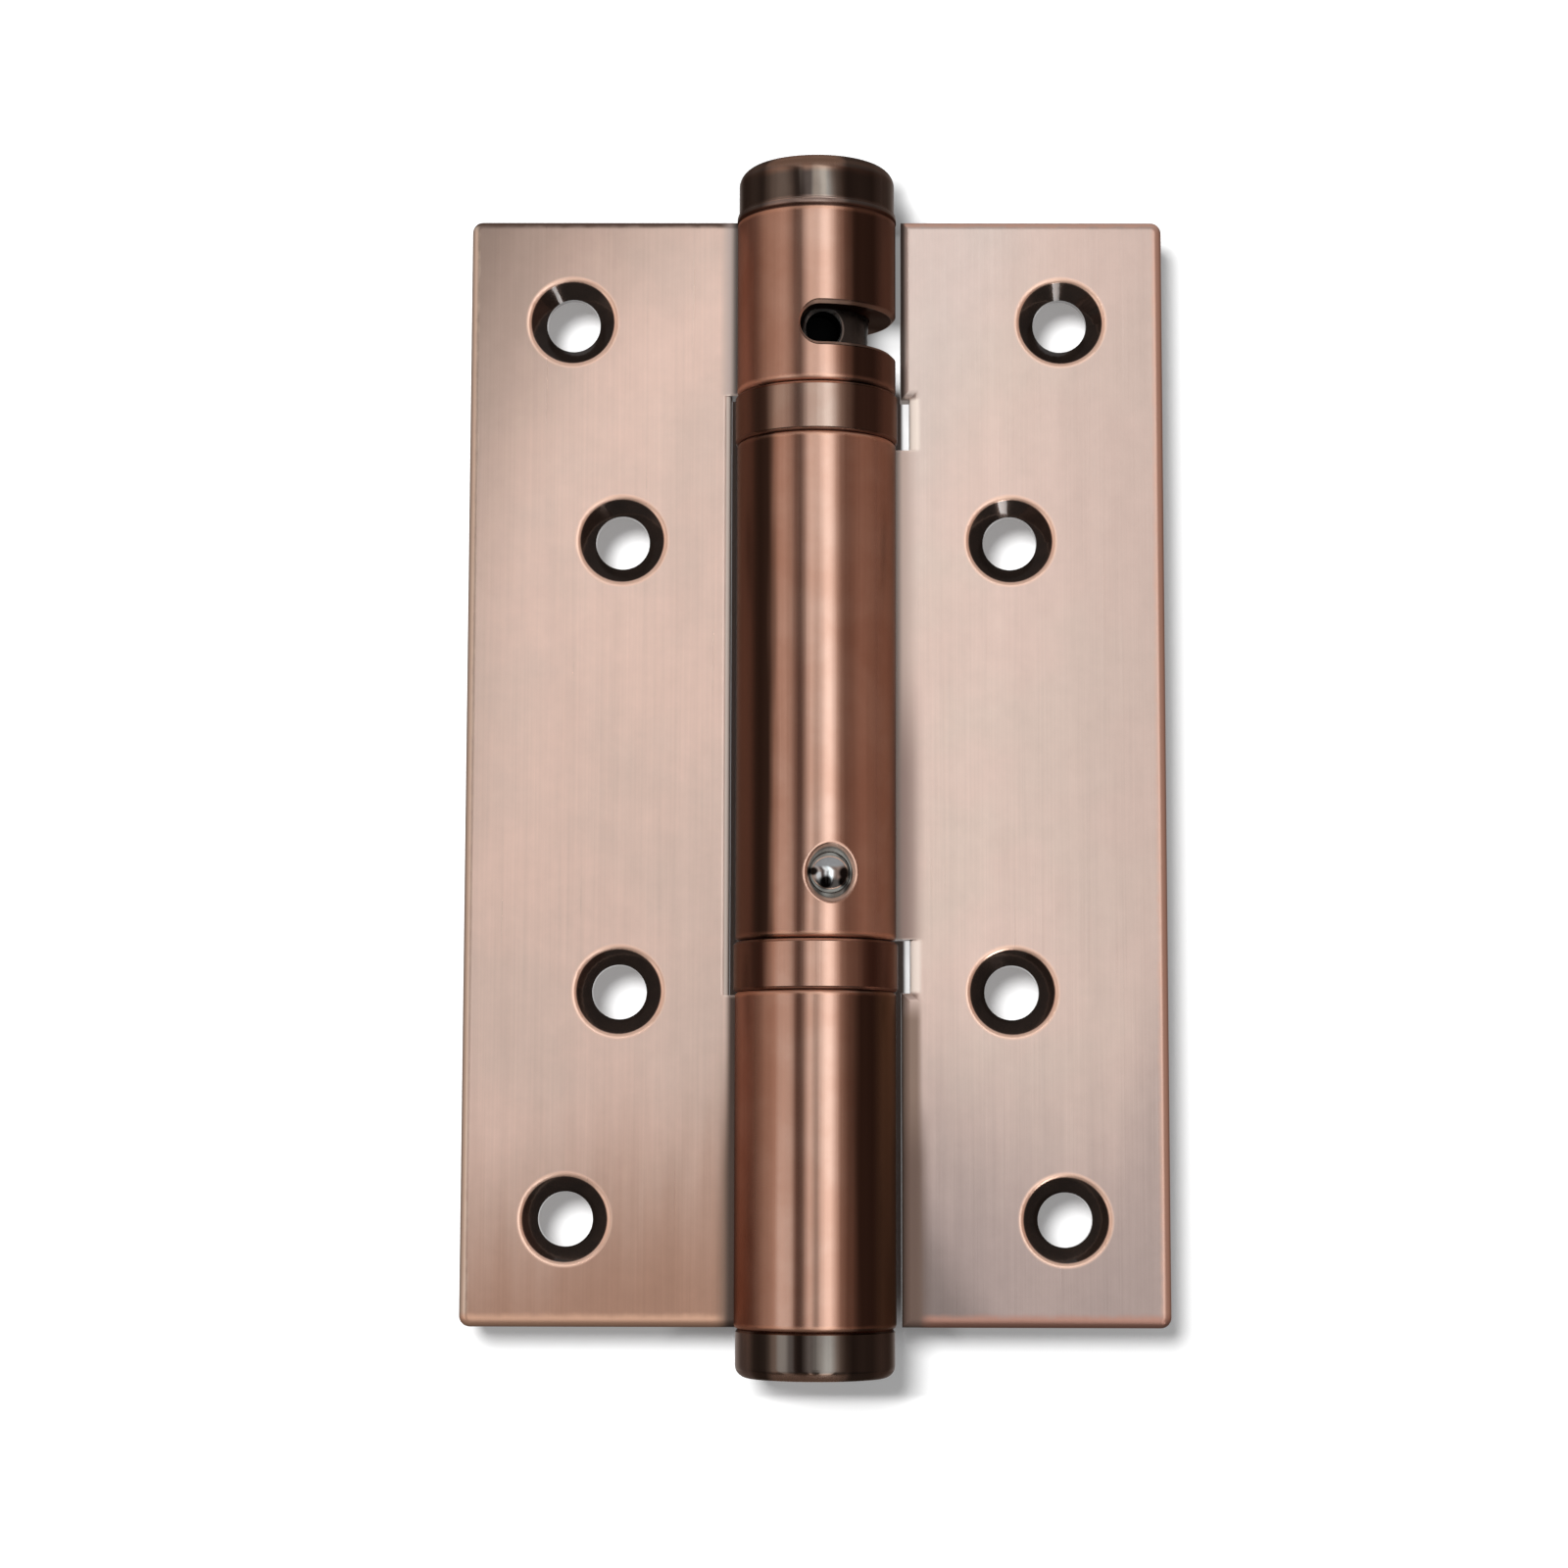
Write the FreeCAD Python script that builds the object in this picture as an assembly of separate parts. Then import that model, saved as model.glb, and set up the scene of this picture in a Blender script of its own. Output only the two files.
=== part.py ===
import FreeCAD, Part
import math
import os

# Spring hinge, opened flat. The origin is on the barrel's axis at half the leaf height.
# +Z runs up the barrel, +X points to the door leaf and -Y is the side that shows the countersinks.
# Lengths are in millimetres. Angles round the barrel are in degrees from the front (-Y) towards +X.

# Leaves
leaf_height = 127.0
leaf_reach = 40.0
leaf_thickness = 3.0
closed_gap = 2.0
leaf_edge_round = 1.0
leaf_corner_round = 1.2
leaf_clearance = 0.65
bearing_relief = 1.0
tab_margin = 0.3
weld_radius = 1.6
weld_margin = 1.5

# Countersunk screw holes, in a zigzag of an outer and an inner pair on each leaf
screw_hole_d = 6.2
countersink_d = 10.0
countersink_round = 0.7
outer_screw_reach = 28.2
outer_screw_spacing = 103.0
inner_screw_reach = 22.3
inner_screw_spacing = 51.8

# Barrel tubes
tube_od = 18.2
tube_wall = 3.0
top_tube_length = 21.0
middle_tube_length = 57.0
tube_edge_round = 0.5

# End caps
cap_inset = 0.15
cap_height = 5.4
cap_edge_round = 1.4
cap_edge_break = 0.3
spigot_length = 4.0

# Bearings between the tubes
bearing_height = 5.75
bearing_proud = 0.2
case_wall = 0.7
case_edge_break = 0.3
race_gap = 1.0
race_lip = 0.26
ball_count = 8
ball_play = 0.05
cage_thickness = 0.5
cage_lip = 0.15

# Tension adjuster and the slot through which a bar turns it
slot_drop = 14.4
slot_start_angle = 2.0
slot_end_angle = 165.0
slot_play = 0.3
slot_edge_break = 0.45
bar_hole_d = 4.1
bar_hole_count = 4
bar_hole_angle = 8.0
bar_hole_web = 0.35
bar_hole_break = 0.5
adjuster_depth = 12.0

# Lower core and the ball-ended pin that locks it to the middle tube
pin_d = 4.6
pin_angle = 10.8
pin_rise = 7.15
pin_seat_depth = 3.2
pin_countersink = 0.95
pin_dish_round = 0.6
core_cover = 6.0
journal_gap = 3.5
core_edge_break = 0.5

# Torsion spring of rectangular wire, wound left-handed, and the rod that keeps it straight
wire_radial = 1.8
wire_axial = 2.1
coil_gap = 0.25
tang_width = 2.0
tang_depth = 4.0
tang_angle = 180.0
rod_d = 5.2
rod_seat = 3.0

# Clearances
running_clearance = 0.08
press_clearance = 0.02
seat_clearance = 0.3
tang_clearance = 0.15
spring_clearance = 0.35
end_float = 0.2

# Heights of the joints of the barrel, from the top end to the bottom end
barrel_top = leaf_height / 2
top_joint = barrel_top - top_tube_length
middle_top = top_joint - bearing_height
middle_bottom = middle_top - middle_tube_length
bottom_joint = middle_bottom - bearing_height
barrel_bottom = -leaf_height / 2

# Radii and places that follow
tube_r = tube_od / 2
bore_r = tube_r - tube_wall
core_r = bore_r - running_clearance
case_r = tube_r + bearing_proud
case_bore_r = case_r - case_wall
race_r = case_bore_r - running_clearance
ball_ring_r = (bore_r + race_r) / 2
ball_r = (race_r - bore_r) / 2 - race_lip
leaf_front = closed_gap / 2
leaf_back = leaf_front + leaf_thickness
leaf_inner_edge = tube_r + leaf_clearance
slot_height = bar_hole_d + slot_play
slot_z = barrel_top - slot_drop
pin_z = middle_bottom + pin_rise
pin_seat_r = core_r - pin_seat_depth
adjuster_top = barrel_top - spigot_length - seat_clearance
adjuster_bottom = middle_top - adjuster_depth
core_top = pin_z + core_cover
core_bottom = barrel_bottom + spigot_length + journal_gap
coil_r = bore_r - spring_clearance - wire_radial / 2
coil_run = adjuster_bottom - core_top - 2 * seat_clearance - wire_axial
coil_turns = math.floor(coil_run / (wire_axial + coil_gap))
coil_pitch = coil_run / coil_turns
coil_low = core_top + seat_clearance + wire_axial / 2
coil_high = coil_low + coil_run

up = FreeCAD.Vector(0, 0, 1)
centre = FreeCAD.Vector(0, 0, 0)


# A point at a radius from the barrel's axis, at an angle from the front and at a height.
def around(radius, angle, height):
    turn = math.radians(angle)
    return FreeCAD.Vector(radius * math.sin(turn), -radius * math.cos(turn), height)


# A solid turned about the barrel's axis from a closed outline of (radius, height) corners.
def turned(outline, start=0.0, sweep=360.0):
    corners = [around(radius, start, height) for radius, height in outline]
    face = Part.Face(Part.makePolygon(corners + corners[:1]))
    return face.revolve(centre, up, sweep)


# A tube of the barrel, with its outer edges rounded at both ends.
def tube(low, high):
    shape = Part.makeCylinder(tube_r, high - low, FreeCAD.Vector(0, 0, low))
    rims = [e for e in shape.Edges if e.Closed and e.BoundBox.ZLength < tube_edge_round]
    shape = shape.makeFillet(tube_edge_round, rims)
    return shape.cut(Part.makeCylinder(bore_r, high - low, FreeCAD.Vector(0, 0, low)))


# A sleeve with its outer edges broken at both ends.
def sleeve(outer, inner, low, high, edge_break):
    return turned([
        (inner, low),
        (outer - edge_break, low),
        (outer, low + edge_break),
        (outer, high - edge_break),
        (outer - edge_break, high),
        (inner, high),
    ])


# A bar along the barrel's axis with both ends chamfered.
def bar(radius, low, high, edge_break):
    return turned([
        (0, low),
        (radius - edge_break, low),
        (radius, low + edge_break),
        (radius, high - edge_break),
        (radius - edge_break, high),
        (0, high),
    ])


# A round hole pointing out of the barrel at an angle and a height, from one radius to another.
def radial_hole(hole_r, inner, outer, angle, height):
    start = around(inner, angle, height)
    return Part.makeCylinder(hole_r, outer - inner, start, around(1, angle, 0))


# A 45 degree flare at the mouth of a radial hole, which meets the surface as wide as it is deep.
def radial_flare(hole_r, depth, surface, angle, height):
    start = around(surface - depth, angle, height)
    return Part.makeCone(hole_r, hole_r + 2 * depth, 2 * depth, start, around(1, angle, 0))


# An upright block on the coil's circle, for a spring tang or the pocket that takes it.
def tang_block(low, high, clearance):
    radial = wire_radial + 2 * clearance
    width = tang_width + 2 * clearance
    corner = FreeCAD.Vector(-width / 2, -coil_r - radial / 2, low)
    block = Part.makeBox(width, radial, high - low, corner)
    block.rotate(centre, up, tang_angle)
    return block


# The screw places of the leaf on one side: side is -1 for the frame leaf and +1 for the door leaf.
def screw_places(side):
    pairs = ((outer_screw_reach, outer_screw_spacing), (inner_screw_reach, inner_screw_spacing))
    return [(side * reach, end * spacing / 2) for reach, spacing in pairs for end in (-1, 1)]


# The cutter of one screw hole, turned about the hole's axis from its outline: the through hole, its
# 90 degree countersink and a rounded mouth on the front face.
def screw_cutter(x, z):
    hole_r = screw_hole_d / 2
    mouth_r = countersink_d / 2
    half_turn = math.radians(45) / 2
    run = countersink_round * math.tan(half_turn)
    slant = run * math.cos(math.radians(45))
    bend_r = mouth_r + run - countersink_round * math.sin(half_turn)
    bend_depth = countersink_round * (1 - math.cos(half_turn))

    def at(radius, depth):
        return FreeCAD.Vector(x + radius, leaf_front + depth, z)

    edges = [
        Part.LineSegment(at(0, 0), at(mouth_r + run, 0)).toShape(),
        Part.Arc(at(mouth_r + run, 0), at(bend_r, bend_depth), at(mouth_r - slant, slant)).toShape(),
        Part.LineSegment(at(mouth_r - slant, slant), at(hole_r, mouth_r - hole_r)).toShape(),
        Part.LineSegment(at(hole_r, mouth_r - hole_r), at(hole_r, leaf_thickness)).toShape(),
        Part.LineSegment(at(hole_r, leaf_thickness), at(0, leaf_thickness)).toShape(),
        Part.LineSegment(at(0, leaf_thickness), at(0, 0)).toShape(),
    ]
    return Part.Face(Part.Wire(edges)).revolve(at(0, 0), FreeCAD.Vector(0, 1, 0), 360)


# The ground weld bead in the corner behind a leaf, between its back face and the tube.
def weld_bead(side, low, high):
    fillet_x = math.sqrt((tube_r + weld_radius) ** 2 - (leaf_back + weld_radius) ** 2)
    fillet_y = leaf_back + weld_radius
    share = tube_r / (tube_r + weld_radius)
    on_leaf = FreeCAD.Vector(fillet_x, leaf_back, low)
    on_tube = FreeCAD.Vector(fillet_x * share, fillet_y * share, low)
    corner = FreeCAD.Vector(math.sqrt(tube_r ** 2 - leaf_back ** 2), leaf_back, low)
    toward = FreeCAD.Vector(-fillet_x, -fillet_y, 0).normalize() + FreeCAD.Vector(0, -1, 0)
    hollow = FreeCAD.Vector(fillet_x, fillet_y, low) + toward.normalize() * weld_radius
    half_turn = (math.atan2(leaf_back, corner.x) + math.atan2(on_tube.y, on_tube.x)) / 2
    bulge = FreeCAD.Vector(tube_r * math.cos(half_turn), tube_r * math.sin(half_turn), low)
    edges = [
        Part.LineSegment(on_leaf, corner).toShape(),
        Part.Arc(corner, bulge, on_tube).toShape(),
        Part.Arc(on_tube, hollow, on_leaf).toShape(),
    ]
    bead = Part.Face(Part.Wire(edges)).extrude(up * (high - low))
    if side > 0:
        return bead
    return bead.mirror(centre, FreeCAD.Vector(1, 0, 0))


# A leaf plate from its outline, given as (distance from the axis, height) corners on its own side.
# Its outer corners and its front edges are rounded, apart from the edges on the tube, and the tube's
# curve is cut into it.
def leaf(side, outline, welds):
    corners = [FreeCAD.Vector(side * reach, leaf_front, height) for reach, height in outline]
    plate = Part.Face(Part.makePolygon(corners + corners[:1])).extrude(FreeCAD.Vector(0, leaf_thickness, 0))
    outer = [e for e in plate.Edges if all(abs(abs(v.X) - leaf_reach) < 1e-6 for v in e.Vertexes)]
    plate = plate.makeFillet(leaf_corner_round, [e for e in outer if e.BoundBox.YLength > leaf_thickness / 2])
    front = [e for e in plate.Edges if all(abs(v.Y - leaf_front) < 1e-6 for v in e.Vertexes)]
    clear = [e for e in front if all(abs(v.X) > tube_r for v in e.Vertexes)]
    plate = plate.makeFillet(leaf_edge_round, clear)
    plate = plate.cut(Part.makeCylinder(tube_r, leaf_height, FreeCAD.Vector(0, 0, barrel_bottom)))
    for x, z in screw_places(side):
        plate = plate.cut(screw_cutter(x, z))
    for low, high in welds:
        plate = plate.fuse(weld_bead(side, low + weld_margin, high - weld_margin))
    return plate.removeSplitter()


# The frame leaf is joined to the top and the bottom tube and cut back beside the middle tube.
def frame_leaf():
    cut_top = top_joint + tab_margin
    cut_bottom = bottom_joint - tab_margin
    outline = [
        (leaf_reach, barrel_bottom),
        (leaf_reach, barrel_top),
        (bore_r, barrel_top),
        (bore_r, cut_top),
        (leaf_inner_edge, cut_top),
        (leaf_inner_edge, cut_bottom),
        (bore_r, cut_bottom),
        (bore_r, barrel_bottom),
    ]
    return leaf(-1, outline, [(barrel_bottom, cut_bottom), (cut_top, barrel_top)])


# The door leaf is joined to the middle tube, relieved beside the bearings and cut back at both ends.
def door_leaf():
    tab_top = middle_top - tab_margin
    tab_bottom = middle_bottom + tab_margin
    relief_edge = leaf_inner_edge + bearing_relief
    outline = [
        (leaf_reach, barrel_bottom),
        (leaf_reach, barrel_top),
        (leaf_inner_edge, barrel_top),
        (leaf_inner_edge, top_joint),
        (relief_edge, top_joint),
        (relief_edge, tab_top),
        (bore_r, tab_top),
        (bore_r, tab_bottom),
        (relief_edge, tab_bottom),
        (relief_edge, bottom_joint),
        (leaf_inner_edge, bottom_joint),
        (leaf_inner_edge, barrel_bottom),
    ]
    return leaf(1, outline, [(tab_bottom, tab_top)])


# The slot in the top tube: a band round the barrel with round ends and a flared outer edge.
def slot_cutter():
    half = slot_height / 2
    inner = bore_r - running_clearance
    flare_start = tube_r - slot_edge_break
    flare_end = tube_r + slot_edge_break
    flare_half = half + 2 * slot_edge_break
    band = turned([
        (inner, slot_z - half),
        (flare_start, slot_z - half),
        (flare_end, slot_z - flare_half),
        (flare_end, slot_z + flare_half),
        (flare_start, slot_z + half),
        (inner, slot_z + half),
    ], slot_start_angle, slot_end_angle - slot_start_angle)
    for angle in (slot_start_angle, slot_end_angle):
        band = band.fuse(radial_hole(half, bore_r / 2, tube_r, angle, slot_z))
        band = band.fuse(radial_flare(half, slot_edge_break, tube_r, angle, slot_z))
    return band


def top_tube():
    return tube(top_joint, barrel_top).cut(slot_cutter())


# The middle tube has the pin's hole, with a countersink whose rim is dished smoothly into the tube.
def middle_tube():
    shape = tube(middle_bottom, middle_top)
    hole_r = pin_d / 2 + press_clearance
    shape = shape.cut(radial_hole(hole_r, bore_r / 2, tube_r, pin_angle, pin_z))
    shape = shape.cut(radial_flare(hole_r, pin_countersink, tube_r, pin_angle, pin_z))
    mouth = around(tube_r, pin_angle, pin_z)
    near = hole_r + 2 * pin_countersink
    rim = [e for e in shape.Edges if all((v.Point - mouth).Length < near for v in e.Vertexes)]
    rim = [e for e in rim if all(abs(math.hypot(v.X, v.Y) - tube_r) < 1e-4 for v in e.Vertexes)]
    return shape.makeFillet(pin_dish_round, rim)


def bottom_tube():
    return tube(barrel_bottom, bottom_joint)


# A cap: a round-edged head that sits on the tube's end and a spigot that is pressed into its bore.
# It is turned for the top end, and turned over for the bottom end.
def cap(end):
    head_r = tube_r - cap_inset
    spigot_r = bore_r - press_clearance
    shape = sleeve(head_r, 0, barrel_top, barrel_top + cap_height, cap_edge_break)
    head = Part.makeCylinder(head_r, cap_height, FreeCAD.Vector(0, 0, barrel_top))
    rim = [e for e in head.Edges if e.BoundBox.ZMin > barrel_top + cap_height / 2 and e.Closed]
    shape = shape.common(head.makeFillet(cap_edge_round, rim))
    shape = shape.fuse(bar(spigot_r, barrel_top - spigot_length, barrel_top + cap_edge_break, cap_edge_break))
    shape = shape.removeSplitter()
    if end < 0:
        shape.rotate(centre, FreeCAD.Vector(0, 1, 0), 180)
    return shape


# The tension adjuster: a bar that turns in the top tube, the upper bearing and the middle tube.
def tension_adjuster():
    core = bar(core_r, adjuster_bottom, adjuster_top, core_edge_break)
    hole_r = bar_hole_d / 2
    for number in range(bar_hole_count):
        angle = bar_hole_angle + 360 * number / bar_hole_count
        core = core.cut(radial_hole(hole_r, hole_r + bar_hole_web, core_r, angle, slot_z))
        core = core.cut(radial_flare(hole_r, bar_hole_break, core_r, angle, slot_z))
    core = core.cut(tang_block(adjuster_bottom, adjuster_bottom + tang_depth, tang_clearance))
    seat = FreeCAD.Vector(0, 0, adjuster_bottom)
    return core.cut(Part.makeCylinder(rod_d / 2 + running_clearance, rod_seat + seat_clearance, seat))


# The lower core: locked in the middle tube by the pin, it turns in the lower bearing and bottom tube.
def lower_core():
    core = bar(core_r, core_bottom, core_top, core_edge_break)
    hole_r = pin_d / 2 + press_clearance
    core = core.cut(radial_hole(hole_r, pin_seat_r, core_r, pin_angle, pin_z))
    core = core.cut(tang_block(core_top - tang_depth, core_top, tang_clearance))
    seat = FreeCAD.Vector(0, 0, core_top - rod_seat)
    return core.cut(Part.makeCylinder(rod_d / 2 + press_clearance, rod_seat, seat))


# The pin: a round bar with a half-ball end, flush with the middle tube.
def anchor_pin():
    ball_at = tube_r - pin_d / 2
    shank = radial_hole(pin_d / 2, pin_seat_r, ball_at, pin_angle, pin_z)
    return shank.fuse(Part.makeSphere(pin_d / 2, around(ball_at, pin_angle, pin_z))).removeSplitter()


def guide_rod():
    low = core_top - rod_seat
    return bar(rod_d / 2, low, adjuster_bottom + rod_seat, core_edge_break)


# The torsion spring: a rectangle swept up a left-handed helix, with an upright tang at each end.
def torsion_spring():
    helix = Part.makeHelix(coil_pitch, coil_run, coil_r)
    half_wire = wire_radial / 2
    half_height = wire_axial / 2
    section = Part.makePolygon([
        FreeCAD.Vector(coil_r - half_wire, 0, -half_height),
        FreeCAD.Vector(coil_r + half_wire, 0, -half_height),
        FreeCAD.Vector(coil_r + half_wire, 0, half_height),
        FreeCAD.Vector(coil_r - half_wire, 0, half_height),
        FreeCAD.Vector(coil_r - half_wire, 0, -half_height),
    ])
    coil = Part.Wire(helix).makePipeShell([section], True, True)
    coil = coil.mirror(centre, FreeCAD.Vector(0, 1, 0))
    coil.rotate(centre, up, tang_angle - 90)
    coil.translate(up * coil_low)
    reach = tang_depth + seat_clearance - tang_clearance
    foot = tang_block(coil_low - half_height - reach, coil_low + half_height, 0)
    head = tang_block(coil_high - half_height, coil_high + half_height + reach, 0)
    return coil.fuse([foot, head])


# The races of a bearing are washers with a ball groove. The base race lies on the lower tube's end.
def race(low, high, ball_z):
    washer = sleeve(race_r, bore_r, low, high, ball_play)
    groove = Part.makeTorus(ball_ring_r, ball_r + ball_play, FreeCAD.Vector(0, 0, ball_z))
    return washer.cut(groove)


# The balls of a bearing, or with some play the pockets of its cage.
def balls(ball_z, play):
    step = 360 / ball_count
    return [Part.makeSphere(ball_r + play, around(ball_ring_r, step * n, ball_z)) for n in range(ball_count)]


# The pieces of the bearing that stands on a tube's end at the height of its seat, by name.
def bearing(name, seat):
    top = seat + bearing_height
    ball_z = seat + bearing_height / 2
    cage_low = ball_z - cage_thickness / 2
    cage = sleeve(race_r - cage_lip, bore_r + cage_lip, cage_low, cage_low + cage_thickness, ball_play)
    return {
        name + "_case": sleeve(case_r, case_bore_r, seat, top - end_float, case_edge_break),
        name + "_base_race": race(seat, ball_z - race_gap / 2, ball_z),
        name + "_top_race": race(ball_z + race_gap / 2, top, ball_z),
        name + "_balls": Part.makeCompound(balls(ball_z, 0)),
        name + "_cage": cage.cut(balls(ball_z, ball_play)),
    }


nodes = {
    "frame_leaf": frame_leaf(),
    "door_leaf": door_leaf(),
    "top_tube": top_tube(),
    "middle_tube": middle_tube(),
    "bottom_tube": bottom_tube(),
    "top_cap": cap(1),
    "bottom_cap": cap(-1),
    "tension_adjuster": tension_adjuster(),
    "lower_core": lower_core(),
    "anchor_pin": anchor_pin(),
    "guide_rod": guide_rod(),
    "torsion_spring": torsion_spring(),
}
nodes.update(bearing("upper_bearing", middle_top))
nodes.update(bearing("lower_bearing", bottom_joint))

os.makedirs("parts", exist_ok=True)
for name, shape in nodes.items():
    print(name, "valid" if shape.isValid() else "INVALID", len(shape.Solids), round(shape.Volume, 2))
    shape.exportStep("parts/" + name + ".step")
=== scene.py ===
import math

import bpy
import numpy as np
from mathutils import Matrix, Vector


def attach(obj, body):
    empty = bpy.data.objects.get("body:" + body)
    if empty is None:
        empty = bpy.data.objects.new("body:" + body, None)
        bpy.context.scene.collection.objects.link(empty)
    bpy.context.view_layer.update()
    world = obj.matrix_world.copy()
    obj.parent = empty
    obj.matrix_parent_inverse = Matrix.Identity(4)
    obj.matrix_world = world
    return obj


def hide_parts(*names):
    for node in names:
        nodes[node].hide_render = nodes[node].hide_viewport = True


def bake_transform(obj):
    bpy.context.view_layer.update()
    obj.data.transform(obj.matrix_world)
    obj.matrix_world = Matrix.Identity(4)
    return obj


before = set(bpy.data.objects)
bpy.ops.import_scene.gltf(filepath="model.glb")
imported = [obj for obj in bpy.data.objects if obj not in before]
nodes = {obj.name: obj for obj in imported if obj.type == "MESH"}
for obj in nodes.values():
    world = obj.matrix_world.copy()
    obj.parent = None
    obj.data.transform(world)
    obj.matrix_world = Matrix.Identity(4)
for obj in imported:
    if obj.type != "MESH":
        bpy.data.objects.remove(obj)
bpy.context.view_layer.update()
mm = 0.001


# node helpers

def wire(tree, socket, value):
    if isinstance(value, bpy.types.NodeSocket):
        tree.links.new(value, socket)
    elif value is not None:
        socket.default_value = value


def plug(tree, sockets, values):
    for name, value in values.items():
        wire(tree, sockets[name], value)


def put(tree, kind, inputs=None, **settings):
    node = tree.nodes.new(kind)
    for name, value in settings.items():
        setattr(node, name, value)
    plug(tree, node.inputs, inputs or {})
    return node


def calc(tree, operation, *terms):
    node = put(tree, "ShaderNodeMath", operation=operation)
    for socket, term in zip(node.inputs, terms):
        wire(tree, socket, term)
    return node.outputs[0]


def plus(tree, first, second):
    return calc(tree, "ADD", first, second)


def minus(tree, first, second):
    return calc(tree, "SUBTRACT", first, second)


def times(tree, first, *others):
    for other in others:
        first = calc(tree, "MULTIPLY", first, other)
    return first


# distance = square root of the sum of both squares
def farOff(tree, sideways, upwards):
    return calc(tree, "SQRT", plus(tree, times(tree, sideways, sideways), times(tree, upwards, upwards)))


# smooth step: 0 at the first value, 1 at the second, eased between them
def ease(tree, value, start, end):
    node = put(tree, "ShaderNodeMapRange", {"Value": value, "From Min": start, "From Max": end},
               interpolation_type="SMOOTHSTEP")
    return node.outputs["Result"]


# straight line from one pair of values to another, held at both ends
def span(tree, value, start, end, low, high):
    node = put(tree, "ShaderNodeMapRange",
               {"Value": value, "From Min": start, "From Max": end, "To Min": low, "To Max": high})
    return node.outputs["Result"]


def colour(tint):
    return (*tint, 1.0)


# mixes two colours by a factor, each a tint or a socket
def tinge(tree, factor, base, over, how="MIX"):
    node = put(tree, "ShaderNodeMix", data_type="RGBA", blend_type=how)
    for index, value in ((0, factor), (6, base), (7, over)):
        wire(tree, node.inputs[index], colour(value) if isinstance(value, tuple) else value)
    return node.outputs[2]


# noise: its scale, how many finer layers it has and how strong these are
def cloudy(tree, place, scale, detail, roughness=0.5):
    node = put(tree, "ShaderNodeTexNoise",
               {"Vector": place, "Scale": scale, "Detail": detail, "Roughness": roughness})
    return node.outputs["Fac"]


def newGroup(name, takes, gives):
    group = bpy.data.node_groups.new(name, "ShaderNodeTree")
    for label, (kind, value) in takes.items():
        socket = group.interface.new_socket(label, in_out="INPUT", socket_type="NodeSocket" + kind)
        if value is not None:
            socket.default_value = value
    for label, kind in gives.items():
        group.interface.new_socket(label, in_out="OUTPUT", socket_type="NodeSocket" + kind)
    return group, put(group, "NodeGroupInput").outputs, put(group, "NodeGroupOutput").inputs


def useGroup(tree, group, **inputs):
    return put(tree, "ShaderNodeGroup", inputs, node_tree=group).outputs


# shared effects

# object coordinates in millimetres, and the same place as an angle from the front, a radius and a height
def makePlaceGroup():
    group, takes, gives = newGroup("place", {"Vector": ("Vector", None)}, {
        "Across": "Float", "Depth": "Float", "Height": "Float", "Angle": "Float", "Radius": "Float"})
    inMillimetres = (1 / mm,) * 3
    scaled = put(group, "ShaderNodeVectorMath", {0: takes["Vector"], 1: inMillimetres}, operation="MULTIPLY")
    parts = put(group, "ShaderNodeSeparateXYZ", {0: scaled.outputs[0]}).outputs
    forward = times(group, parts["Y"], -1.0)
    plug(group, gives, {
        "Across": parts["X"],
        "Depth": parts["Y"],
        "Height": parts["Z"],
        "Angle": calc(group, "DEGREES", calc(group, "ARCTAN2", parts["X"], forward)),
        "Radius": farOff(group, parts["X"], parts["Y"]),
    })
    return group


# brush lines: noise stretched along the barrel, fine lines and broad soft bands
def makeBrushGroup():
    group, takes, gives = newGroup("brushLines", {
        "Vector": ("Vector", None), "Fine": ("Float", 3200.0), "Broad": ("Float", 420.0),
        "Along": ("Float", 30.0)}, {"Lines": "Float", "Bands": "Float"})
    for name, width, detail in (("Lines", "Fine", 3.0), ("Bands", "Broad", 2.0)):
        stretch = put(group, "ShaderNodeCombineXYZ",
                      {"X": takes[width], "Y": takes[width], "Z": takes["Along"]}).outputs[0]
        place = put(group, "ShaderNodeVectorMath", {0: takes["Vector"], 1: stretch}, operation="MULTIPLY")
        wire(group, gives[name], cloudy(group, place.outputs[0], scale=1.0, detail=detail, roughness=0.6))
    return group


# cloudy patina: soft blotches, and a second finer mottle
def makePatinaGroup():
    group, takes, gives = newGroup("patina", {
        "Vector": ("Vector", None), "Size": ("Float", 90.0), "Low": ("Float", 0.4), "High": ("Float", 0.65)},
        {"Clouds": "Float", "Mottle": "Float"})
    clouds = cloudy(group, takes["Vector"], scale=takes["Size"], detail=4.0, roughness=0.55)
    finer = times(group, takes["Size"], 9.0)
    wire(group, gives["Clouds"], ease(group, clouds, takes["Low"], takes["High"]))
    wire(group, gives["Mottle"], cloudy(group, takes["Vector"], scale=finer, detail=3.0, roughness=0.6))
    return group


# edge band for worn copper and for a painted reflection on rounded edges: 1 on the edge and 0 beyond its width,
# with a ragged limit
def makeEdgeWearAndReflectionGroup():
    group, takes, gives = newGroup("edgeWearAndReflection", {
        "Vector": ("Vector", None), "Distance": ("Float", 5.0), "Width": ("Float", 1.0),
        "Ragged": ("Float", 0.4)}, {"Band": "Float"})
    uneven = minus(group, cloudy(group, takes["Vector"], scale=700.0, detail=3.0), 0.5)
    moved = plus(group, takes["Distance"], times(group, uneven, takes["Ragged"]))
    bare = times(group, takes["Width"], 0.45)
    wire(group, gives["Band"], ease(group, moved, takes["Width"], bare))
    return group


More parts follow.
